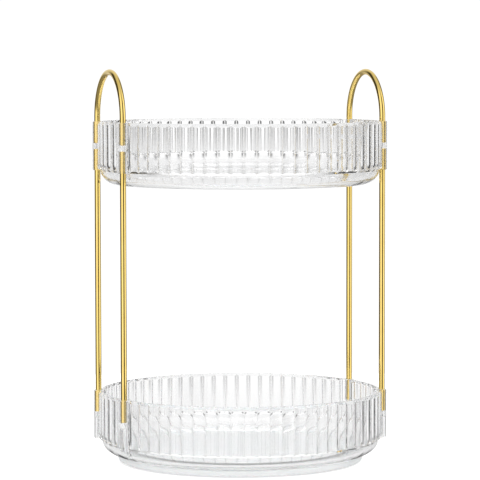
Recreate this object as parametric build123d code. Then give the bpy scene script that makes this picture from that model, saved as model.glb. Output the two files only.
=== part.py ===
from build123d import *
import os
from math import asin, cos, degrees, radians, sin

# Two-tier turning stand for cosmetics: two equal clear trays with ribbed walls, four straight
# rods between them, two arched handles, and a low white turntable under the lower tray.
# Millimetres. Z is up, the turning axis is Z, the table is at z = 0, and the arches stand
# at -X (left) and +X (right).

# Rods and arches. The rods' axes lie just outside the crests of the trays' ribs.
rod_diameter = 4.8
rod_length = 210.6
rod_outset = 0.1
rod_end_chamfer = 0.4
arch_span = 71.8
arch_leg_length = 20.5

# Trays, both from one mould
tray_radius = 113.5
rib_count = 72
rib_depth = 1.0
band_height = 39.0
rim_bevel = 2.6
rim_land = 0.7
band_foot_bevel = 1.8
bowl_inset = 2.5
bowl_height = 11.4
bowl_corner_width = 15.0
foot_ring_width = 8.0
foot_ring_height = 0.5
floor_thickness = 2.2
wall_thickness = 2.6
wall_draft = 0.3
wall_step_height = 6.0

# Sockets in the tray walls
boss_radius = 5.2
boss_outer_wall = 1.5
boss_edge_chamfer = 0.5
socket_clearance = 0.08
socket_mouth_chamfer = 0.4
upper_socket_depth = 17.5
lower_socket_depth = 17.0

# Turntable dish and its feet
dish_lap = 2.4
dish_wall = 2.4
dish_floor = 1.6
dish_corner_radius = 4.4
dish_gap = 0.4
foot_pad_count = 6
foot_pad_radius = 5.0
foot_pad_thickness = 1.2
foot_pad_proud = 0.6
foot_pad_inset = 18.4
foot_pad_clearance = 0.1

# Ball bearing
ball_count = 24
ball_diameter = 2.5
ball_circle_radius = 60.0
ball_play = 0.04
race_width = 10.0
race_thickness = 0.8
race_groove_depth = 0.35
race_groove_play = 0.15
race_lip_width = 1.2
race_lip_height = 0.6
race_lip_clearance = 0.05
cage_width = 7.0
cage_thickness = 1.0
cage_pocket_play = 0.1

# Turning plate and centre pivot
plate_thickness = 1.2
plate_clearance = 0.5
pivot_radius = 5.0
pivot_clearance = 0.08
pivot_end_play = 0.1
pivot_boss_radius = 13.0
pivot_boss_height = 2.4
pivot_web = 1.2
washer_radius = 9.0
washer_thickness = 0.8
washer_room = 1.5
screw_radius = 1.5
screw_clearance = 0.05
screw_head_radius = 3.2
screw_head_height = 1.4
screw_edge_chamfer = 0.3
screw_grip = 3.6

# Heights of the turntable stack, from the table up
dish_bottom = foot_pad_proud
dish_floor_top = dish_bottom + dish_floor
lower_race_top = dish_floor_top + race_thickness
ball_centre_height = lower_race_top - race_groove_depth + ball_play + ball_diameter / 2
upper_race_bottom = ball_centre_height + ball_diameter / 2 + ball_play - race_groove_depth
plate_bottom = upper_race_bottom + race_thickness
plate_top = plate_bottom + plate_thickness
lower_tray_z = plate_top - foot_ring_height
dish_top = lower_tray_z - dish_gap
pivot_boss_top = dish_floor_top + pivot_boss_height
pivot_web_bottom = pivot_boss_top - pivot_web
washer_top = pivot_web_bottom - pivot_end_play
washer_bottom = washer_top - washer_thickness

# Heights of the tower, from the tray's own underside or from the table
tray_height = bowl_height + band_height
upper_socket_floor = tray_height - upper_socket_depth
lower_socket_ceiling = bowl_height + lower_socket_depth
cavity_floor = foot_ring_height + floor_thickness
rod_bottom = lower_tray_z + upper_socket_floor
upper_tray_z = rod_bottom + rod_length - lower_socket_ceiling
arch_bottom = upper_tray_z + upper_socket_floor

# Places round the axis
bowl_radius = tray_radius - bowl_inset
foot_ring_radius = bowl_radius - bowl_corner_width
dish_radius = foot_ring_radius + dish_lap
foot_pad_circle_radius = dish_radius - foot_pad_inset
rod_circle_radius = tray_radius + rod_outset
rod_radius = rod_diameter / 2
socket_radius = rod_radius + socket_clearance
socket_half_angle = degrees(asin(arch_span / 2 / rod_circle_radius))
boss_circle_radius = rod_circle_radius + rod_radius + boss_outer_wall - boss_radius
rod_x = rod_circle_radius * cos(radians(socket_half_angle))
rod_places = {
    "front_right": -socket_half_angle,
    "rear_right": socket_half_angle,
    "rear_left": 180 - socket_half_angle,
    "front_left": 180 + socket_half_angle,
}


def on_circle(radius, angle, height=0.0):
    return (radius * cos(radians(angle)), radius * sin(radians(angle)), height)


def turned(points):
    # A solid of revolution about Z from (radius, height) corners
    outline = Polyline([(radius, 0, height) for radius, height in points], close=True)
    return revolve(make_face(outline), axis=Axis.Z)


def post(radius, low, high, place=(0, 0)):
    column = Cylinder(radius, high - low, align=(Align.CENTER, Align.CENTER, Align.MIN))
    return Pos(place[0], place[1], low) * column


def ring(inner, outer, low, high):
    return post(outer, low, high) - post(inner, low, high)


def chamfered_post(radius, low, high, edge, place=(0, 0)):
    column = post(radius, low, high, place)
    return chamfer(column.edges().filter_by(GeomType.CIRCLE), edge)


def bowl_solid(side, corner, low, high):
    # A round body with an elliptical corner between its flat underside and its upright side
    underside = Line((0, 0, low), (corner, 0, low))
    rounding = EllipticalCenterArc((corner, high), side - corner, high - low, 270, arc_size=90)
    rounding = Plane.XZ.location * rounding
    top = Polyline([(side, 0, high), (0, 0, high), (0, 0, low)])
    return revolve(make_face([underside, rounding, top]), axis=Axis.Z)


# Clear trays. The ribs are convex, with a sharp valley between two of them.
def ribbed_column(low, high):
    pitch = 360 / rib_count
    valley = tray_radius - rib_depth
    ribs = []
    for index in range(rib_count):
        middle = index * pitch
        start = on_circle(valley, middle - pitch / 2, low)
        crest = on_circle(tray_radius, middle, low)
        end = on_circle(valley, middle + pitch / 2, low)
        ribs.append(ThreePointArc(start, crest, end))
    return extrude(make_face(ribs), amount=high - low)


def bevelled_envelope():
    # The space inside the two bevels, wider than the ribs so that only the bevels cut them
    past = rib_depth
    corners = [
        (0, bowl_height),
        (tray_radius - band_foot_bevel, bowl_height),
        (tray_radius + past, bowl_height + band_foot_bevel + past),
        (tray_radius + past, tray_height - rim_bevel - past),
        (tray_radius - rim_bevel, tray_height),
        (0, tray_height),
    ]
    return turned(corners)


def tray_cavity():
    # The wall is even down to a short step, where it leans in to meet the narrower bowl
    bowl_side = bowl_radius - wall_thickness
    rim_side = tray_radius - rim_bevel - rim_land
    rounded = bowl_solid(bowl_side, foot_ring_radius, cavity_floor, bowl_height)
    sides = [
        (0, bowl_height),
        (bowl_side, bowl_height),
        (rim_side - wall_draft, bowl_height + wall_step_height),
        (rim_side, tray_height),
        (0, tray_height),
    ]
    return rounded + turned(sides)


def socket_boss(angle):
    place = on_circle(boss_circle_radius, angle)
    upright = chamfered_post(boss_radius, bowl_height, tray_height, boss_edge_chamfer, place)
    root = post(boss_radius, cavity_floor, bowl_height + boss_edge_chamfer, place)
    bowl = bowl_solid(bowl_radius, foot_ring_radius, 0, bowl_height)
    inside_bowl = bowl + post(bowl_radius, bowl_height, bowl_height + boss_edge_chamfer)
    return upright + (root & inside_bowl)


def socket_bores(angle):
    place = on_circle(rod_circle_radius, angle)
    mouth = socket_radius + socket_mouth_chamfer
    upper = post(socket_radius, upper_socket_floor, tray_height, place)
    lower = post(socket_radius, bowl_height, lower_socket_ceiling, place)
    lead = Cone(socket_radius, mouth, socket_mouth_chamfer)
    half_lead = socket_mouth_chamfer / 2
    upper_lead = Pos(place[0], place[1], tray_height - half_lead) * lead
    lower_lead = Pos(place[0], place[1], bowl_height + half_lead) * Rot(X=180) * lead
    return upper + lower + upper_lead + lower_lead


def make_tray():
    band = ribbed_column(bowl_height, tray_height) & bevelled_envelope()
    tray = band + bowl_solid(bowl_radius, foot_ring_radius, 0, bowl_height)
    tray -= tray_cavity()
    tray -= post(foot_ring_radius - foot_ring_width, 0, foot_ring_height)
    for angle in rod_places.values():
        tray += socket_boss(angle)
    for angle in rod_places.values():
        tray -= socket_bores(angle)
    return tray


# Gold-plated rods and arches
def make_rod(angle):
    place = on_circle(rod_circle_radius, angle)
    return chamfered_post(rod_radius, rod_bottom, rod_bottom + rod_length, rod_end_chamfer, place)


def make_arch(side):
    x = side * rod_x
    half_span = arch_span / 2
    spring = arch_bottom + arch_leg_length
    leg_up = Line((x, -half_span, arch_bottom), (x, -half_span, spring))
    bend = ThreePointArc(
        (x, -half_span, spring), (x, 0, spring + half_span), (x, half_span, spring)
    )
    leg_down = Line((x, half_span, spring), (x, half_span, arch_bottom))
    section = Pos(x, -half_span, arch_bottom) * Circle(rod_radius)
    tube = sweep(section, path=Wire([leg_up, bend, leg_down]))
    ends = tube.edges().group_by(Axis.Z)[0]
    return chamfer(ends, rod_end_chamfer)


# Turntable dish: a shallow white moulding with a raised centre for the pivot
def make_dish():
    corner = dish_radius - dish_corner_radius
    underside = Line((0, 0, dish_bottom), (corner, 0, dish_bottom))
    rounding = ThreePointArc(
        (corner, 0, dish_bottom),
        (
            corner + dish_corner_radius * sin(radians(45)),
            0,
            dish_bottom + dish_corner_radius * (1 - cos(radians(45))),
        ),
        (dish_radius, 0, dish_bottom + dish_corner_radius),
    )
    inner = dish_radius - dish_wall
    rest = Polyline(
        [
            (dish_radius, 0, dish_bottom + dish_corner_radius),
            (dish_radius, 0, dish_top),
            (inner, 0, dish_top),
            (inner, 0, dish_floor_top),
            (0, 0, dish_floor_top),
            (0, 0, dish_bottom),
        ]
    )
    dish = revolve(make_face([underside, rounding, rest]), axis=Axis.Z)
    dish += post(pivot_boss_radius, dish_floor_top, pivot_boss_top)
    dish += race_lips(dish_floor_top, dish_floor_top + race_lip_height)
    dish -= post(washer_radius + washer_room, dish_bottom, pivot_web_bottom)
    dish -= post(pivot_radius + pivot_clearance, pivot_web_bottom, pivot_boss_top)
    pocket_top = foot_pad_thickness
    for place in foot_pad_places():
        dish -= post(foot_pad_radius + foot_pad_clearance, dish_bottom, pocket_top, place)
    return dish


def race_lips(low, high):
    # Two low rings that hold a race between them
    inner = ball_circle_radius - race_width / 2 - race_lip_clearance
    outer = ball_circle_radius + race_width / 2 + race_lip_clearance
    return ring(inner - race_lip_width, inner, low, high) + ring(
        outer, outer + race_lip_width, low, high
    )


def foot_pad_places():
    pitch = 360 / foot_pad_count
    return [on_circle(foot_pad_circle_radius, index * pitch) for index in range(foot_pad_count)]


def make_foot_pad(place):
    return post(foot_pad_radius, 0, foot_pad_thickness, place)


# Ball bearing: two steel races, a ring of balls and the cage that spaces them
def make_race(low, side):
    # side is -1 under the balls and 1 over them
    groove_radius = ball_diameter / 2 + race_groove_play
    groove_height = ball_centre_height + side * (ball_play - race_groove_play)
    inner = ball_circle_radius - race_width / 2
    outer = ball_circle_radius + race_width / 2
    groove = Pos(0, 0, groove_height) * Torus(ball_circle_radius, groove_radius)
    return ring(inner, outer, low, low + race_thickness) - groove


def ball_places():
    pitch = 360 / ball_count
    angles = [index * pitch for index in range(ball_count)]
    return [on_circle(ball_circle_radius, angle, ball_centre_height) for angle in angles]


def make_balls():
    return Compound(children=[Pos(*place) * Sphere(ball_diameter / 2) for place in ball_places()])


def make_cage():
    low = ball_centre_height - cage_thickness / 2
    high = ball_centre_height + cage_thickness / 2
    half_width = cage_width / 2
    cage = ring(ball_circle_radius - half_width, ball_circle_radius + half_width, low, high)
    for place in ball_places():
        cage -= post(ball_diameter / 2 + cage_pocket_play, low, high, place)
    return cage


# Turning plate under the lower tray, with the pivot that the dish turns on
def make_turning_plate():
    plate_radius = foot_ring_radius - foot_ring_width - plate_clearance
    plate = post(plate_radius, plate_bottom, plate_top)
    plate += race_lips(plate_bottom - race_lip_height, plate_bottom)
    plate += post(pivot_radius, washer_top, plate_bottom)
    plate -= post(screw_radius + screw_clearance, washer_top, washer_bottom + screw_grip)
    return plate


def make_washer():
    return ring(screw_radius + screw_clearance, washer_radius, washer_bottom, washer_top)


def make_screw():
    head_bottom = washer_bottom - screw_head_height
    head = post(screw_head_radius, head_bottom, washer_bottom)
    head = chamfer(head.edges().group_by(Axis.Z)[0], screw_edge_chamfer)
    shank = post(screw_radius, washer_bottom, washer_bottom + screw_grip)
    slot_width = screw_radius / 2
    slot = Box(2 * screw_radius, slot_width, screw_head_height)
    slots = Pos(0, 0, head_bottom) * (slot + Rot(Z=90) * slot)
    return head + shank - slots


def make_pieces():
    tray = make_tray()
    pieces = {
        "base_dish": make_dish(),
        "lower_race": make_race(dish_floor_top, -1),
        "bearing_balls": make_balls(),
        "ball_cage": make_cage(),
        "upper_race": make_race(upper_race_bottom, 1),
        "turning_plate": make_turning_plate(),
        "pivot_washer": make_washer(),
        "pivot_screw": make_screw(),
        "lower_tray": Pos(0, 0, lower_tray_z) * tray,
        "upper_tray": Pos(0, 0, upper_tray_z) * tray,
        "arch_left": make_arch(-1),
        "arch_right": make_arch(1),
    }
    for number, place in enumerate(foot_pad_places(), start=1):
        pieces[f"foot_pad_{number}"] = make_foot_pad(place)
    for corner, angle in rod_places.items():
        pieces[f"rod_{corner}"] = make_rod(angle)
    return pieces


os.makedirs("parts", exist_ok=True)
for name, piece in make_pieces().items():
    export_step(piece, f"parts/{name}.step")
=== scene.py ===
from math import acos, cos, pi, radians, sin, sqrt

import bmesh
import bpy
from mathutils import Matrix, Vector


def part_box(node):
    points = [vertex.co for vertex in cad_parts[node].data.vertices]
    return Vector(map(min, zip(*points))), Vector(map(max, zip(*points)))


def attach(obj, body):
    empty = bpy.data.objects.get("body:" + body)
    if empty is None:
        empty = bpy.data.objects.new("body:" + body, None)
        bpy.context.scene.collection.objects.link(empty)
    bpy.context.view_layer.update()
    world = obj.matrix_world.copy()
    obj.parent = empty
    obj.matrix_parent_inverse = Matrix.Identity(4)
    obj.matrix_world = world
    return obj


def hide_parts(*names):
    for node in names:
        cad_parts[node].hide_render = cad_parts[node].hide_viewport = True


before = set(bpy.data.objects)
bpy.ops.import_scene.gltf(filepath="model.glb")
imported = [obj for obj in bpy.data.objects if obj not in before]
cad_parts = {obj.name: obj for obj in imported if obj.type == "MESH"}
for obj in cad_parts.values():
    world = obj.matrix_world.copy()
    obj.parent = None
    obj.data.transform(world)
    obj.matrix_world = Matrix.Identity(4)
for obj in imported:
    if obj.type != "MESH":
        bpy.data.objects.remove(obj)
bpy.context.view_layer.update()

mm = 0.001

# Camera: a long lens a little above the upper tray's rim, turned so that the left arch comes
# forward. It looks down slightly at the middle of the stand and is rolled by a tenth of a
# degree, as the photograph is.
camera_turn = radians(19.0)
camera_distance = 2.0636
camera_height = 0.3145
camera_pitch = radians(3.82)
camera_roll = radians(-0.09)
camera_lens = 194.0
film_width = 36.0
nearest_seen = 0.1
furthest_seen = 100.0


def add_object(name, data):
    made = bpy.data.objects.new(name, data)
    bpy.context.scene.collection.objects.link(made)
    return made


camera_data = bpy.data.cameras.new("camera")
camera_data.lens = camera_lens
camera_data.sensor_width = film_width
camera_data.clip_start = nearest_seen
camera_data.clip_end = furthest_seen
camera = add_object("camera", camera_data)
camera_place = (-sin(camera_turn) * camera_distance, -cos(camera_turn) * camera_distance, camera_height)
camera.matrix_world = (
    Matrix.Translation(camera_place)
    @ Matrix.Rotation(-camera_turn, 4, "Z")
    @ Matrix.Rotation(pi / 2 - camera_pitch, 4, "X")
    @ Matrix.Rotation(camera_roll, 4, "Z")
)
bpy.context.scene.camera = camera


# Studio: a light table in a tent of white panels, with a soft light overhead. Clear plastic and
# polished metal show their shape by the dark gaps between the panels. What the metal mirrors,
# what the plastic mirrors inside and what shines straight through it have panels of their own.
metal_panels = (
    (-180, 1.0), (-150, 1.3), (-118, 1.3), (-110, 0.6), (-101, 0.05), (-49, 0.05), (-35, 0.7),
    (-14, 0.9), (20, 0.8), (34, 0.16), (70, 0.16), (84, 1.2), (134, 1.35), (142, 0.02), (172, 0.02),
    (179, 1.0), (180, 1.0),
)
plastic_panels = (
    (-180, 1.15), (-172, 1.2), (-124, 1.2), (-117, 0.05), (-100, 0.05), (-94, 1.05), (-88, 1.05),
    (-81, 0.05), (-55, 0.05), (-48, 1.0), (-24, 1.0), (-14, 0.7), (-6, 0.95), (6, 0.95), (14, 0.7),
    (24, 1.0), (44, 1.0), (52, 0.06), (81, 0.06), (89, 1.15), (112, 1.2), (119, 0.03), (149, 0.03),
    (156, 1.1), (180, 1.15),
)
through_light = 1.2
through_gaps = (-87, -43, -11, 11, 48, 93)
through_gap_width = 6
through_gap_fade = 4
gap_light = 0.06
through_panels = [(-180, through_light)]
for middle in through_gaps:
    through_panels += [
        (middle - through_gap_width / 2 - through_gap_fade, through_light),
        (middle - through_gap_width / 2, gap_light),
        (middle + through_gap_width / 2, gap_light),
        (middle + through_gap_width / 2 + through_gap_fade, through_light),
    ]
through_panels.append((180, through_light))
tents = (
    {"panels": metal_panels, "roof_light": 0.75, "table_light": 0.28, "table_edge": (-0.15, -0.45)},
    {"panels": plastic_panels, "roof_light": 1.0, "table_light": 1.0, "table_edge": (-0.3, -0.65)},
    {"panels": through_panels, "roof_light": 1.0, "table_light": 1.0, "table_edge": (-0.05, -0.2)},
)
roof_edge = (0.6, 0.95)
backdrop_light = 1.05
overhead_light = 1.5
overhead_spread = radians(60)
table_radius = 0.6
table_sides = 128
table_glow = 0.45
longest_path = 40
reflections_followed = 24
shadow_layers_followed = 24
mix_first, mix_second, mix_colour = 6, 7, 2


def add_node(tree, kind, inputs=None, **settings):
    # Makes a shader node. An input is given a plain value, or the output that feeds it.
    node = tree.nodes.new(kind)
    for key, value in settings.items():
        setattr(node, key, value)
    for key, value in (inputs or {}).items():
        if isinstance(value, bpy.types.NodeSocket):
            tree.links.new(value, node.inputs[key])
        else:
            node.inputs[key].default_value = value
    return node


def maths(tree, operation, first, second):
    return add_node(tree, "ShaderNodeMath", {0: first, 1: second}, operation=operation).outputs[0]


def mixed(tree, factor, first, second):
    # The Mix node's colour sockets share their names with other sockets, so they go by number
    inputs = {"Factor": factor, mix_first: first, mix_second: second}
    return add_node(tree, "ShaderNodeMix", inputs, data_type="RGBA").outputs[mix_colour]


def ranged(tree, value, given, wanted=(0.0, 1.0), **settings):
    # Maps a value from one (low, high) range to another
    inputs = {"Value": value, "From Min": given[0], "From Max": given[1]}
    inputs.update({"To Min": wanted[0], "To Max": wanted[1]})
    return add_node(tree, "ShaderNodeMapRange", inputs, **settings).outputs["Result"]


def grey(light):
    return (light, light, light, 1)


def panel_light(tree, around, panels):
    # The light round the tent, from the (degrees from the backdrop, light) edges of its panels
    ramp = add_node(tree, "ShaderNodeValToRGB", {"Fac": around})
    stops = ramp.color_ramp.elements
    for angle, light in panels[1:-1]:
        stops.new(0.5 + angle / 360)
    for stop, (angle, light) in zip(stops, panels):
        stop.position = 0.5 + angle / 360
        stop.color = grey(light)
    return ramp.outputs["Color"]


def make_tent():
    # Directions are turned by the camera's angle first, because the backdrop faces the camera
    world = bpy.data.worlds.new("tent")
    world.use_nodes = True
    tree = world.node_tree
    tree.nodes.clear()
    ray = add_node(tree, "ShaderNodeLightPath").outputs
    direction = add_node(tree, "ShaderNodeTexCoord").outputs["Generated"]
    turn = {"Vector": direction, "Angle": camera_turn}
    turned = add_node(tree, "ShaderNodeVectorRotate", turn, rotation_type="Z_AXIS")
    parts = add_node(tree, "ShaderNodeSeparateXYZ", {0: turned.outputs[0]}).outputs
    around = ranged(tree, maths(tree, "ARCTAN2", parts["X"], parts["Y"]), (-pi, pi))
    lights = []
    for tent in tents:
        light = panel_light(tree, around, tent["panels"])
        for edge, far_light in ((roof_edge, tent["roof_light"]), (tent["table_edge"], tent["table_light"])):
            share = ranged(tree, parts["Z"], edge, interpolation_type="SMOOTHSTEP")
            light = mixed(tree, share, light, grey(far_light))
        lights.append(light)
    in_metal, in_plastic, through_plastic = lights
    not_mirrored = maths(tree, "LESS_THAN", ray["Glossy Depth"], 0.5)
    by_plastic = mixed(tree, not_mirrored, in_plastic, through_plastic)
    tent_colour = mixed(tree, ray["Is Transmission Ray"], in_metal, by_plastic)
    tent_light = add_node(tree, "ShaderNodeBackground", {"Color": tent_colour})
    backdrop = add_node(tree, "ShaderNodeBackground", {"Color": grey(1), "Strength": backdrop_light})
    shown = {0: ray["Is Camera Ray"], 1: tent_light.outputs[0], 2: backdrop.outputs[0]}
    surface = add_node(tree, "ShaderNodeMixShader", shown)
    add_node(tree, "ShaderNodeOutputWorld", {"Surface": surface.outputs[0]})
    return world


bpy.context.scene.world = make_tent()
bpy.context.scene.view_settings.view_transform = "Standard"
light_paths = bpy.context.scene.cycles
light_paths.max_bounces = longest_path
light_paths.glossy_bounces = reflections_followed
light_paths.transmission_bounces = longest_path
light_paths.transparent_max_bounces = shadow_layers_followed

sun = bpy.data.lights.new("overhead", "SUN")
sun.energy = overhead_light
sun.angle = overhead_spread
overhead_lamp = add_object("overhead", sun)
overhead_lamp.visible_glossy = False

patch_range = (0.35, 0.65)


def new_material(name, shader_inputs):
    # A material with one Principled shader, whose plain values are set on its own sockets
    material = bpy.data.materials.new(name)
    material.use_nodes = True
    shader = material.node_tree.nodes["Principled BSDF"]
    for key, value in shader_inputs.items():
        shader.inputs[key].default_value = value
    return material, material.node_tree, shader


def new_group(name, inputs, outputs):
    # A shader node group of plain values, from (name, default) inputs and the names of its outputs
    group = bpy.data.node_groups.new(name, "ShaderNodeTree")
    for key, default in inputs:
        socket = group.interface.new_socket(key, in_out="INPUT", socket_type="NodeSocketFloat")
        socket.default_value = default
    for key in outputs:
        group.interface.new_socket(key, in_out="OUTPUT", socket_type="NodeSocketFloat")
    return group, add_node(group, "NodeGroupInput").outputs, add_node(group, "NodeGroupOutput").inputs


def placed_group(tree, group, inputs):
    return add_node(tree, "ShaderNodeGroup", inputs, node_tree=group).outputs


def sized_noise(tree, place, size, detail):
    # Noise in blobs of about the given size in millimetres
    inputs = {"Vector": place, "Scale": maths(tree, "DIVIDE", 1 / mm, size), "Detail": detail}
    return add_node(tree, "ShaderNodeTexNoise", inputs).outputs["Fac"]


def make_fine_grain():
    # The fine texture of a surface: even grain, and soft patches that are a little duller
    sizes = (("Grain Size", 0.4), ("Patch Size", 20.0))
    group, given, results = new_group("fine_grain", sizes, ("Grain", "Patches"))
    place = add_node(group, "ShaderNodeTexCoord").outputs["Object"]
    group.links.new(sized_noise(group, place, given["Grain Size"], detail=3.0), results["Grain"])
    group.links.new(sized_noise(group, place, given["Patch Size"], detail=4.0), results["Patches"])
    return group


fine_grain = make_fine_grain()


def finished_material(name, colours, roughness, grain_size, patch_size, bump, plain):
    # Colours and roughness are (even, patch) pairs, blended by the patches of the fine grain
    material, tree, shader = new_material(name, plain)
    texture = placed_group(tree, fine_grain, {"Grain Size": grain_size, "Patch Size": patch_size})
    amount = ranged(tree, texture["Patches"], patch_range)
    tone = mixed(tree, amount, (*colours[0], 1), (*colours[1], 1))
    dullness = ranged(tree, amount, (0.0, 1.0), roughness)
    grain = {"Strength": bump, "Distance": grain_size * mm, "Height": texture["Grain"]}
    relief = add_node(tree, "ShaderNodeBump", grain)
    tree.links.new(tone, shader.inputs["Base Color"])
    tree.links.new(dullness, shader.inputs["Roughness"])
    tree.links.new(relief.outputs["Normal"], shader.inputs["Normal"])
    return material


table_rim = []
for step in range(table_sides):
    turn = 2 * pi * step / table_sides
    table_rim.append((table_radius * cos(turn), table_radius * sin(turn), 0))
table_mesh = bpy.data.meshes.new("light_table")
table_mesh.from_pydata(table_rim, [], [range(table_sides)])
table_mesh.materials.append(finished_material(
    "table_sheet", colours=((0.8, 0.8, 0.8), (0.79, 0.79, 0.79)), roughness=(0.85, 0.95),
    grain_size=1.0, patch_size=60.0, bump=0.05,
    plain={"Emission Color": grey(1), "Emission Strength": table_glow, "Specular IOR Level": 0.2},
))
table = add_object("light_table", table_mesh)
table.visible_transmission = False
table.visible_glossy = False


# Base dish: one low white moulding that stays still on the table. It is satin ABS, rounded under
# its rim, with two low lips for the bearing race, a raised centre with the bore that the tower
# turns in, and six shallow pockets for the foot pads.
dish_low_corner, dish_high_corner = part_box("base_dish")
dish_radius = dish_high_corner.x / mm
dish_bottom = dish_low_corner.z / mm
dish_top = dish_high_corner.z / mm
dish_wall = 2.4
dish_floor = 1.6
dish_rounding = 3.9
dish_rim_ease = 0.4
dish_floor_ease = 0.5
dish_segments = 256
pivot_boss_radius = 13.0
pivot_boss_height = 2.4
pivot_boss_root_ease = 0.3
pivot_web = 1.2
pivot_bore = 5.08
pivot_bore_ease = 0.15
washer_recess = 10.5
corner_ease = 0.2
race_width = 10.0
race_lip_width = 1.2
race_lip_height = 0.6
race_lip_ease = 0.12
race_lip_clearance = 0.05
pad_count = 6
pad_segments = 48
pad_clearance = 0.1
pocket_ease = 0.1
cut_past = 1
guard_share = 0.3
smooth_up_to = radians(30)
on_axis = 1e-9


def eased(corners, steps=4):
    # Turns (point, ease) corners into a path. A corner is rounded from its ease on either side,
    # with a guard point beyond each end that keeps the shading of the flat beside it flat.
    path = []
    for index, (point, ease) in enumerate(corners):
        if not ease:
            path.append(point)
            continue
        back = (corners[index - 1][0] - point).normalized()
        ahead = (corners[(index + 1) % len(corners)][0] - point).normalized()
        start = point + back * ease
        end = point + ahead * ease
        path.append(start + back * ease * guard_share)
        for step in range(steps + 1):
            share = step / steps
            path.append(start * (1 - share) ** 2 + point * 2 * share * (1 - share) + end * share ** 2)
        path.append(end + ahead * ease * guard_share)
    return path


def skin(name, rings, material, closed=False):
    # Joins rings of points into one closed skin. A ring of one point closes an end, and with
    # closed the last ring joins the first. The rings run so that their faces look outwards.
    mesh = bmesh.new()
    made = [[mesh.verts.new(point) for point in ring] for ring in rings]
    pairs = list(zip(made, made[1:]))
    if closed:
        pairs.append((made[-1], made[0]))
    for lower, upper in pairs:
        count = max(len(lower), len(upper))
        for index in range(count):
            following = (index + 1) % count
            if len(lower) == 1:
                mesh.faces.new((lower[0], upper[following], upper[index]))
            elif len(upper) == 1:
                mesh.faces.new((lower[index], lower[following], upper[0]))
            else:
                mesh.faces.new((lower[index], lower[following], upper[following], upper[index]))
    data = bpy.data.meshes.new(name)
    mesh.to_mesh(data)
    mesh.free()
    data.shade_smooth()
    data.set_sharp_from_angle(angle=smooth_up_to)
    data.materials.append(material)
    return add_object(name, data)


def turned_piece(name, corners, material, segments, centre=(0, 0)):
    # A solid turned about an upright axis, from (radius, height, ease) corners in millimetres
    points = eased([(Vector((radius, 0, height)) * mm, ease * mm) for radius, height, ease in corners])
    angles = [2 * pi * index / segments for index in range(segments)]
    x, y = centre
    rings = []
    for point in points:
        if point.x < on_axis:
            rings.append([Vector((x, y, point.z))])
        else:
            rings.append([Vector((x + point.x * cos(a), y + point.x * sin(a), point.z)) for a in angles])
    return skin(name, rings, material, closed=corners[0][0] > 0)


def cut_away(piece, tools):
    # Cuts the tools out of a piece, applies the cut and removes the tools
    core = bmesh.new()
    for tool in tools:
        core.from_mesh(tool.data)
        bpy.data.objects.remove(tool)
    core_mesh = bpy.data.meshes.new("cores")
    core.to_mesh(core_mesh)
    core.free()
    cores = add_object("cores", core_mesh)
    cut = piece.modifiers.new("cut", "BOOLEAN")
    cut.object = cores
    cut.operation = "DIFFERENCE"
    cut.solver = "EXACT"
    made = bpy.data.meshes.new_from_object(piece.evaluated_get(bpy.context.evaluated_depsgraph_get()))
    piece.modifiers.remove(cut)
    bpy.data.objects.remove(cores)
    made.set_sharp_from_angle(angle=smooth_up_to)
    piece.data = made


def carry(piece, node, body):
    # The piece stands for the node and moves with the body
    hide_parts(node)
    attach(piece, body)


def middle_and_size(node):
    low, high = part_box(node)
    return (low + high) / 2, high - low


def race_lips(base, tip):
    # The corners of two low rings, run from the outer one inwards, that hold a race between them
    _, race_size = middle_and_size("lower_race")
    race_outer = race_size.x / 2 / mm
    outer = race_outer + race_lip_clearance
    inner = race_outer - race_width - race_lip_clearance
    corners = []
    for index, radius in enumerate((outer + race_lip_width, outer, inner, inner - race_lip_width)):
        heights = (base, tip) if index % 2 == 0 else (tip, base)
        corners += [(radius, height, 0.0 if height == base else race_lip_ease) for height in heights]
    return corners


white_plastic = finished_material(
    "white_moulding", colours=((0.73, 0.735, 0.74), (0.715, 0.72, 0.725)), roughness=(0.28, 0.4),
    grain_size=0.35, patch_size=26.0, bump=0.12,
    plain={
        "Subsurface Weight": 0.05, "Subsurface Scale": 0.002, "Coat Weight": 0.15, "Coat Roughness": 0.12,
    },
)
floor_height = dish_bottom + dish_floor
boss_top = floor_height + pivot_boss_height
web_bottom = boss_top - pivot_web
dish_corners = [
    (pivot_bore, web_bottom, pivot_bore_ease),
    (washer_recess, web_bottom, 0.0),
    (washer_recess, dish_bottom, corner_ease),
    (dish_radius, dish_bottom, dish_rounding),
    (dish_radius, dish_top, dish_rim_ease),
    (dish_radius - dish_wall, dish_top, dish_rim_ease),
    (dish_radius - dish_wall, floor_height, dish_floor_ease),
    *race_lips(floor_height, floor_height + race_lip_height),
    (pivot_boss_radius, floor_height, pivot_boss_root_ease),
    (pivot_boss_radius, boss_top, corner_ease),
    (pivot_bore, boss_top, pivot_bore_ease),
]
dish = turned_piece("white_dish", dish_corners, white_plastic, dish_segments)
pockets = []
for number in range(1, pad_count + 1):
    middle, size = middle_and_size(f"foot_pad_{number}")
    radius = size.x / 2 / mm + pad_clearance
    low, high = dish_bottom - cut_past, size.z / mm
    corners = [(0, low, 0), (radius, low, 0), (radius, high, pocket_ease), (0, high, 0)]
    pockets.append(turned_piece("pocket", corners, white_plastic, pad_segments, (middle.x, middle.y)))
cut_away(dish, pockets)
carry(dish, "base_dish", "base")


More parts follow.
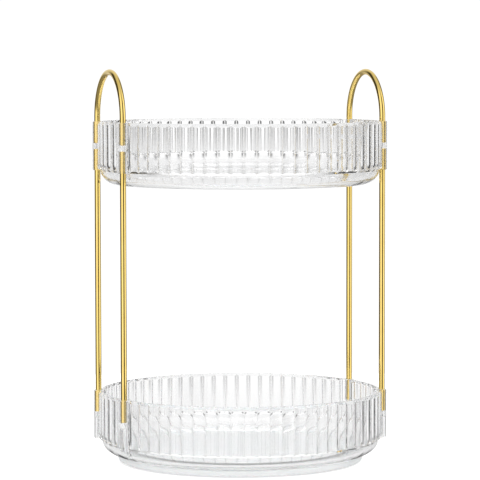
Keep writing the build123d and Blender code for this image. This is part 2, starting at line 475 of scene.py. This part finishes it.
# Foot pads: six round pads of dark rubber, pressed into pockets under the base dish. They are
# punched from sheet, with a slight rounding where the punch has drawn the edge in.
pad_edge = 0.15
rubber = finished_material(
    "pad_rubber", colours=((0.028, 0.028, 0.03), (0.05, 0.049, 0.048)), roughness=(0.7, 0.9),
    grain_size=0.3, patch_size=4.0, bump=0.35, plain={"Specular IOR Level": 0.35},
)
for number in range(1, pad_count + 1):
    node = f"foot_pad_{number}"
    middle, size = middle_and_size(node)
    radius, top = size.x / 2 / mm, size.z / mm
    corners = [(0, 0, 0), (radius, 0, pad_edge), (radius, top, pad_edge), (0, top, 0)]
    pad = turned_piece(f"punched_pad_{number}", corners, rubber, pad_segments, (middle.x, middle.y))
    carry(pad, node, "base")


# Ball bearing: two grooved rings of zinc-plated sheet steel, one in the dish and one under the
# turning plate, with ground steel balls between them in a cage of natural nylon.
zinc = finished_material(
    "zinc_plate", colours=((0.60, 0.62, 0.65), (0.50, 0.52, 0.54)), roughness=(0.24, 0.38),
    grain_size=0.25, patch_size=3.0, bump=0.15, plain={"Metallic": 1.0},
)
ball_steel = finished_material(
    "ball_steel", colours=((0.66, 0.67, 0.69), (0.6, 0.6, 0.61)), roughness=(0.05, 0.12),
    grain_size=0.2, patch_size=1.5, bump=0.02, plain={"Metallic": 1.0},
)
nylon = finished_material(
    "cage_nylon", colours=((0.80, 0.78, 0.71), (0.76, 0.74, 0.66)), roughness=(0.45, 0.6),
    grain_size=0.3, patch_size=6.0, bump=0.2, plain={"Subsurface Weight": 0.2, "Subsurface Scale": 0.001},
)
bearing = {"lower_race": zinc, "upper_race": zinc, "bearing_balls": ball_steel, "ball_cage": nylon}
for node, material in bearing.items():
    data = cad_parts[node].data
    data.materials.clear()
    data.materials.append(material)


# Turning plate: a flat white disc cemented under the lower tray. It carries the upper race
# between two lips, and its centre spigot turns in the dish's bore.
plate_thickness = 1.2
cement_gap = 0.06
screw_pilot_radius = 1.55
screw_pilot_depth = 2.8
screw_pilot_ease = 0.1
spigot_radius = 5.0
plate_low, plate_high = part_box("turning_plate")
plate_radius = plate_high.x / mm
plate_top = plate_high.z / mm
plate_bottom = plate_top - plate_thickness
spigot_end = plate_low.z / mm
pilot_end = spigot_end + screw_pilot_depth
plate_corners = [
    (0, pilot_end, 0),
    (screw_pilot_radius, pilot_end, 0),
    (screw_pilot_radius, spigot_end, screw_pilot_ease),
    (spigot_radius, spigot_end, corner_ease),
    (spigot_radius, plate_bottom, 0),
    *reversed(race_lips(plate_bottom, plate_bottom - race_lip_height)),
    (plate_radius, plate_bottom, corner_ease),
    (plate_radius, plate_top - cement_gap, corner_ease),
    (0, plate_top - cement_gap, 0),
]
plate = turned_piece("white_plate", plate_corners, white_plastic, dish_segments)
carry(plate, "turning_plate", "tower")


# Pivot screw and washer: a zinc-plated pan-head screw with a cross recess is driven up into the
# spigot. Its washer overlaps the dish's web and keeps the two halves of the turntable together.
screw_low, screw_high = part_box("pivot_screw")
washer_low, washer_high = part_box("pivot_washer")
head_radius = screw_high.x / mm
head_bottom = screw_low.z / mm
head_top = washer_low.z / mm
head_crown_inset = 0.9
head_crown_ease = 0.3
head_side_drop = 0.7
head_side_ease = 0.4
head_seat_ease = 0.1
shank_radius = 1.5
shank_top = screw_high.z / mm
shank_chamfer = 0.5
screw_segments = 64
recess_width = 0.8
recess_reach = 1.6
recess_depth = 1.0
recess_start = 0.5
recess_mouth_share = 1.1
recess_bottom_share = 0.55
washer_radius = washer_high.x / mm
washer_bottom = washer_low.z / mm
washer_top = washer_high.z / mm
washer_clearance = 0.05
washer_hole_ease = 0.08
washer_rim_ease = 0.15
washer_segments = 96
screw_corners = [
    (0, head_bottom, 0),
    (head_radius - head_crown_inset, head_bottom, head_crown_ease),
    (head_radius, head_bottom + head_side_drop, head_side_ease),
    (head_radius, head_top, head_seat_ease),
    (shank_radius, head_top, 0),
    (shank_radius, shank_top - shank_chamfer, 0),
    (shank_radius - shank_chamfer, shank_top, 0),
    (0, shank_top, 0),
]
screw = turned_piece("pan_head_screw", screw_corners, zinc, screw_segments)


def recess_blade(turn):
    # One of the two crossed blades of the recess, tapered towards its bottom
    low, high = head_bottom - recess_start, head_bottom + recess_depth
    rings = []
    for height, share in ((low, recess_mouth_share), (high, recess_bottom_share)):
        x, y = recess_reach * share * mm, recess_width / 2 * share * mm
        corners = ((x, -y), (x, y), (-x, y), (-x, -y))
        ring = [Vector((across, along, height * mm)) for across, along in corners]
        rings.append([Matrix.Rotation(turn, 3, "Z") @ point for point in ring])
    low_middle = sum(rings[0], Vector()) / 4
    high_middle = sum(rings[1], Vector()) / 4
    return skin("blade", [[low_middle], *rings, [high_middle]], zinc)


for blade in [recess_blade(0), recess_blade(pi / 2)]:
    cut_away(screw, [blade])
carry(screw, "pivot_screw", "tower")
washer_bore = shank_radius + washer_clearance
washer_corners = [
    (washer_bore, washer_bottom, washer_hole_ease),
    (washer_radius, washer_bottom, washer_rim_ease),
    (washer_radius, washer_top, washer_rim_ease),
    (washer_bore, washer_top, washer_hole_ease),
]
washer = turned_piece("flat_washer", washer_corners, zinc, washer_segments)
carry(washer, "pivot_washer", "tower")


# Clear trays: two equal mouldings of clear polystyrene, each with convex ribs round an upright
# band, a bevelled rim and a rounded bottom on a low foot ring. Its four round sockets are open at
# the top and at the bottom. The lower tray is cemented to the turning plate.
rib_count = 72
rib_depth = 1.0
rib_samples = 16
crest_flatness = 2.6
flank_steepness = 0.62
tray_low, tray_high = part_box("lower_tray")
crest_radius = (tray_high.x - tray_low.x) / 2 / mm
tray_height = (tray_high.z - tray_low.z) / mm
valley_radius = crest_radius - rib_depth
bowl_inset = 2.5
bowl_radius = crest_radius - bowl_inset
bowl_height = 11.4
bowl_corner_width = 15.0
foot_ring_radius = bowl_radius - bowl_corner_width
foot_ring_width = 8.0
foot_ring_height = 0.5
foot_ring_ease = 0.1
floor_thickness = 2.2
bowl_thickness = 2.6
inner_radius = bowl_radius - bowl_thickness
rim_outer_inset = 1.5
rim_outer = crest_radius - rim_outer_inset
rim_bevel_height = 2.6
rim_inner_inset = 3.3
rim_inner = crest_radius - rim_inner_inset
rim_lean = 0.02
wall_draft = 0.3
wall_step_height = 6.0
band_foot_inset = 1.8
band_foot = crest_radius - band_foot_inset
ring_eases = (0.2, 0.3, 0.6, 0.25)
rod_radius = 2.4
rod_outset = 0.1
rod_circle = crest_radius + rod_outset
rod_span = 71.8
boss_radius = 5.2
boss_outer_wall = 1.5
boss_circle = rod_circle + rod_radius + boss_outer_wall - boss_radius
boss_edge = 0.5
boss_eases = (0.15, 0.15, 0.15, 0.15)
boss_reach = radians(2.8)
boss_margin = radians(0.15)
boss_inner_blend = 0.5
boss_samples = 28
socket_angle = acos(sqrt(1 - (rod_span / 2 / rod_circle) ** 2))
socket_angles = (-socket_angle, socket_angle, pi - socket_angle, pi + socket_angle)
socket_radius = 2.48
socket_segments = 64
socket_end_ease = 0.3
upper_mouth = 0.4
lower_mouth = 0.1
upper_socket_depth = 17.5
lower_socket_depth = 17.0
upper_socket_floor = tray_height - upper_socket_depth
lower_socket_ceiling = bowl_height + lower_socket_depth
cavity_floor = foot_ring_height + floor_thickness
recess_radius = foot_ring_radius - foot_ring_width
middle_ring = 10
floor_ring = 60


def rib_radius(angle):
    # The wall's outer radius. A rib has a broad crest, and flanks that steepen into narrow valleys.
    off_crest = abs((angle * rib_count / pi + 1) % 2 - 1)
    return valley_radius + rib_depth * (1 - off_crest ** crest_flatness) ** flank_steepness


def polar(radius, angle, height):
    return Vector((radius * cos(angle), radius * sin(angle), height)) * mm


def quarter_ellipse(side, low, start, end, steps):
    # The bowl's rounded corner, between the flat at the foot ring and an upright side
    angles = [start + (end - start) * step / steps for step in range(steps + 1)]
    reach, rise = side - foot_ring_radius, bowl_height - low
    return [(foot_ring_radius + reach * cos(a), bowl_height + rise * sin(a)) for a in angles]


outer_bowl = quarter_ellipse(bowl_radius, 0, -pi / 2, 0, steps=12)
inner_bowl = quarter_ellipse(inner_radius, cavity_floor, 0, -pi / 2, steps=11)


def bevel_heights(crest):
    # Where the band's foot bevel ends and its rim bevel starts, at an outer radius of the ribs
    foot_bevel = crest - band_foot
    rim_bevel = (crest - rim_outer) / (crest_radius - rim_outer) * rim_bevel_height
    return bowl_height + foot_bevel, tray_height - rim_bevel


def wall_column(angle, crest, heights, outside, inside, eases):
    # Points up the outside, over the rim and down the inside, at one angle. The functions outside
    # and inside give the wall's own points, from a radius, the boss's radius there and a height.
    # The eases are for the band's foot, its lower and upper edge, and the rim.
    def at(radius, height):
        return polar(radius, angle, height)

    neck = boss_radius - boss_edge
    foot_ease, lower_ease, upper_ease, rim_ease = (ease * mm for ease in eases)
    path = eased([
        (at(middle_ring, foot_ring_height), 0),
        (at(recess_radius, foot_ring_height), foot_ring_ease * mm),
        (at(recess_radius, 0), foot_ring_ease * mm),
        (at(foot_ring_radius, 0), 0),
    ])
    path += [at(radius, height) for radius, height in outer_bowl[1:-1]]
    path += eased([
        (at(bowl_radius, bowl_height), 0),
        (outside(band_foot, neck, bowl_height), foot_ease),
        (outside(crest, boss_radius, heights[0]), lower_ease),
        (outside(crest, boss_radius, heights[1]), upper_ease),
        (outside(rim_outer, neck, tray_height), rim_ease),
        (inside(rim_inner, neck, tray_height), rim_ease),
        (inside(rim_inner - rim_lean, boss_radius, tray_height - boss_edge), 0),
        (inside(rim_inner - wall_draft, boss_radius, bowl_height + wall_step_height), 0),
        (inside(inner_radius, boss_radius, bowl_height), 0),
    ])
    path += [inside(radius, boss_radius, height) for radius, height in inner_bowl[1:]]
    path += [at(floor_ring, cavity_floor), at(middle_ring, cavity_floor)]
    return path


def ring_column(angle):
    # A column on a ribbed stretch of the wall
    def at(radius, circle, height):
        return polar(radius, angle, height)

    crest = rib_radius(angle)
    return wall_column(angle, crest, bevel_heights(crest), at, at, ring_eases)


def crossing(radius, circle):
    # The half angle, seen from the boss's own centre, at which its circle meets the ring
    return acos((radius ** 2 - boss_circle ** 2 - circle ** 2) / (2 * boss_circle * circle))


def blended_least(a, b, blend):
    # The lesser of two radii, rounded where they meet
    if abs(a - b) >= blend:
        return min(a, b)
    return min(a, b) - (blend - abs(a - b)) ** 2 / (4 * blend)


def boss_column(middle, share):
    # A column on a socket boss, where share runs from -1 to 1 across it. The two at its edges meet
    # the ribs and end in their bevels, and the others in the boss's own chamfers.
    off = share * boss_reach

    def outside(radius, circle, height):
        turn = share * crossing(radius, circle)
        x = boss_circle + circle * cos(turn)
        y = circle * sin(turn)
        return Vector((x * cos(middle) - y * sin(middle), x * sin(middle) + y * cos(middle), height)) * mm

    def inside(radius, circle, height):
        across = boss_circle * sin(off)
        least = radius
        if abs(across) < circle:
            arc = boss_circle * cos(off) - sqrt(circle ** 2 - across ** 2)
            least = blended_least(radius, arc, boss_inner_blend)
        return polar(least, middle + off, height)

    crest = rib_radius(middle + (1 if share > 0 else -1) * boss_reach)
    heights = bevel_heights(crest)
    if abs(share) < 1:
        heights = (bowl_height + boss_edge, tray_height - boss_edge)
    return wall_column(middle + off, crest, heights, outside, inside, boss_eases)


def tray_columns():
    # All the columns of a tray, in order round its axis
    columns = []
    for index in range(rib_count * rib_samples):
        rib, sample = divmod(index, rib_samples)
        off_crest = sin(pi * (sample / rib_samples - 0.5))
        angle = (rib + off_crest / 2) * 2 * pi / rib_count
        away = [abs((angle - middle + pi) % (2 * pi) - pi) for middle in socket_angles]
        if min(away) > boss_reach + boss_margin:
            columns.append((angle % (2 * pi), ring_column(angle)))
    for middle in socket_angles:
        for index in range(boss_samples + 1):
            share = 2 * index / boss_samples - 1
            columns.append(((middle + share * boss_reach) % (2 * pi), boss_column(middle, share)))
    columns.sort(key=lambda column: column[0])
    return [path for _, path in columns]


def socket_pins(angle, material):
    # The mould's two pins that leave a socket's holes, from above and from below
    centre = polar(rod_circle, angle, 0)
    upper = [
        (0, upper_socket_floor, 0),
        (socket_radius, upper_socket_floor, socket_end_ease),
        (socket_radius, tray_height - upper_mouth, 0),
        (socket_radius + upper_mouth, tray_height, 0),
        (socket_radius + upper_mouth, tray_height + cut_past, 0),
        (0, tray_height + cut_past, 0),
    ]
    lower = [
        (0, bowl_height - cut_past, 0),
        (socket_radius + lower_mouth, bowl_height - cut_past, 0),
        (socket_radius + lower_mouth, bowl_height, 0),
        (socket_radius, bowl_height + lower_mouth, 0),
        (socket_radius, lower_socket_ceiling, socket_end_ease),
        (0, lower_socket_ceiling, 0),
    ]
    place = (centre.x, centre.y)
    return [turned_piece("pin", corners, material, socket_segments, place) for corners in (upper, lower)]


def make_tray_mesh(material):
    columns = tray_columns()
    rings = [[column[row] for column in columns] for row in range(len(columns[0]))]
    rings = [[Vector((0, 0, foot_ring_height * mm))]] + rings + [[Vector((0, 0, cavity_floor * mm))]]
    blank = skin("tray_blank", rings, material)
    cut_away(blank, [pin for angle in socket_angles for pin in socket_pins(angle, material)])
    moulded = blank.data
    bpy.data.objects.remove(blank)
    return moulded


def make_moulding_flow():
    # Slight thickness waves in clear plastic, drawn out upwards as it filled the mould
    group, given, results = new_group("moulding_flow", (("Wave Size", 12.0), ("Draw", 0.3)), ("Height",))
    place = add_node(group, "ShaderNodeTexCoord").outputs["Object"]
    stretch = add_node(group, "ShaderNodeCombineXYZ", {"X": 1.0, "Y": 1.0, "Z": given["Draw"]}).outputs[0]
    drawn = add_node(group, "ShaderNodeVectorMath", {0: place, 1: stretch}, operation="MULTIPLY").outputs[0]
    group.links.new(sized_noise(group, drawn, given["Wave Size"], 1.0), results["Height"])
    return group


moulding_flow = make_moulding_flow()
clear_tint = (0.975, 0.975, 0.975, 1)
patch_tint = (0.955, 0.957, 0.96, 1)
shadow_tint = (0.93, 0.94, 0.94, 1)
haze_range = (0.5, 0.75)
patch_haze = 0.035
wave_depth = 0.3 * mm
clear, tree, shader = new_material("clear_moulding", {"IOR": 1.5, "Transmission Weight": 1.0})
patches = placed_group(tree, fine_grain, {"Grain Size": 0.5, "Patch Size": 18.0})["Patches"]
flow = placed_group(tree, moulding_flow, {"Wave Size": 9.0, "Draw": 0.25})["Height"]
wave = add_node(tree, "ShaderNodeBump", {"Strength": 0.25, "Distance": wave_depth, "Height": flow})
tree.links.new(mixed(tree, patches, clear_tint, patch_tint), shader.inputs["Base Color"])
tree.links.new(ranged(tree, patches, haze_range, (0.0, patch_haze)), shader.inputs["Roughness"])
tree.links.new(wave.outputs["Normal"], shader.inputs["Normal"])
ray = add_node(tree, "ShaderNodeLightPath").outputs
thin = add_node(tree, "ShaderNodeBsdfTransparent", {"Color": shadow_tint})
either = {0: ray["Is Shadow Ray"], 1: shader.outputs[0], 2: thin.outputs[0]}
lit = add_node(tree, "ShaderNodeMixShader", either)
tree.links.new(lit.outputs[0], tree.nodes["Material Output"].inputs["Surface"])
tray_mesh = make_tray_mesh(clear)
for tier in ("lower", "upper"):
    node = f"{tier}_tray"
    mesh = tray_mesh.copy()
    mesh.transform(Matrix.Translation((0, 0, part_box(node)[0].z)))
    carry(add_object(f"clear_{node}", mesh), node, "tower")


# Rods: four straight lengths of drawn steel wire with their ends dressed, polished and plated
# light gold. Each stands in a socket of the lower tray and reaches up into one of the upper tray.
wire_radius = rod_radius * mm
wire_segments = 48
end_ease = 0.4 * mm
seat_gap = 0.05 * mm
up = Vector((0, 0, 1))
gold = finished_material(
    "gold_plating", colours=((0.92, 0.69, 0.225), (0.89, 0.65, 0.19)), roughness=(0.04, 0.1),
    grain_size=1.6, patch_size=14.0, bump=0.012,
    plain={"Metallic": 1.0, "Coat Weight": 0.1, "Coat Roughness": 0.03},
)


def tube(name, stations, material):
    # A round bar along (centre, direction, radius) stations in an upright plane of constant x
    across = Vector((1, 0, 0))
    angles = [2 * pi * index / wire_segments for index in range(wire_segments)]
    rings = [[stations[0][0]]]
    for centre, direction, radius in stations:
        side = direction.cross(across)
        rings.append([centre + (side * cos(a) + across * sin(a)) * radius for a in angles])
    rings.append([stations[-1][0]])
    return skin(name, rings, material)


for corner in ("front_left", "rear_left", "front_right", "rear_right"):
    node = f"rod_{corner}"
    low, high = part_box(node)
    x, y = (low.x + high.x) / 2, (low.y + high.y) / 2
    ends = [(low.z + seat_gap, wire_radius - end_ease), (low.z + seat_gap + end_ease, wire_radius)]
    ends += [(high.z - seat_gap - end_ease, wire_radius), (high.z - seat_gap, wire_radius - end_ease)]
    rod = tube(f"gold_{node}", [(Vector((x, y, z)), up, radius) for z, radius in ends], gold)
    carry(rod, node, "tower")


# Arches: the same plated wire bent to a half circle, one over each side of the upper tray. Their
# legs stand in the tops of its sockets, and the stand is lifted by them.
bend_steps = 96
for side in ("left", "right"):
    node = f"arch_{side}"
    low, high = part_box(node)
    x = (low.x + high.x) / 2
    bend = (high.y - low.y) / 2 - wire_radius
    spring = high.z - wire_radius - bend
    bottom = low.z + seat_gap
    stations = [
        (Vector((x, -bend, bottom)), up, wire_radius - end_ease),
        (Vector((x, -bend, bottom + end_ease)), up, wire_radius),
    ]
    for index in range(bend_steps + 1):
        turn = pi * index / bend_steps
        centre = Vector((x, -bend * cos(turn), spring + bend * sin(turn)))
        stations.append((centre, Vector((0, sin(turn), cos(turn))), wire_radius))
    stations += [
        (Vector((x, bend, bottom + end_ease)), -up, wire_radius),
        (Vector((x, bend, bottom)), -up, wire_radius - end_ease),
    ]
    carry(tube(f"gold_{node}", stations, gold), node, "tower")
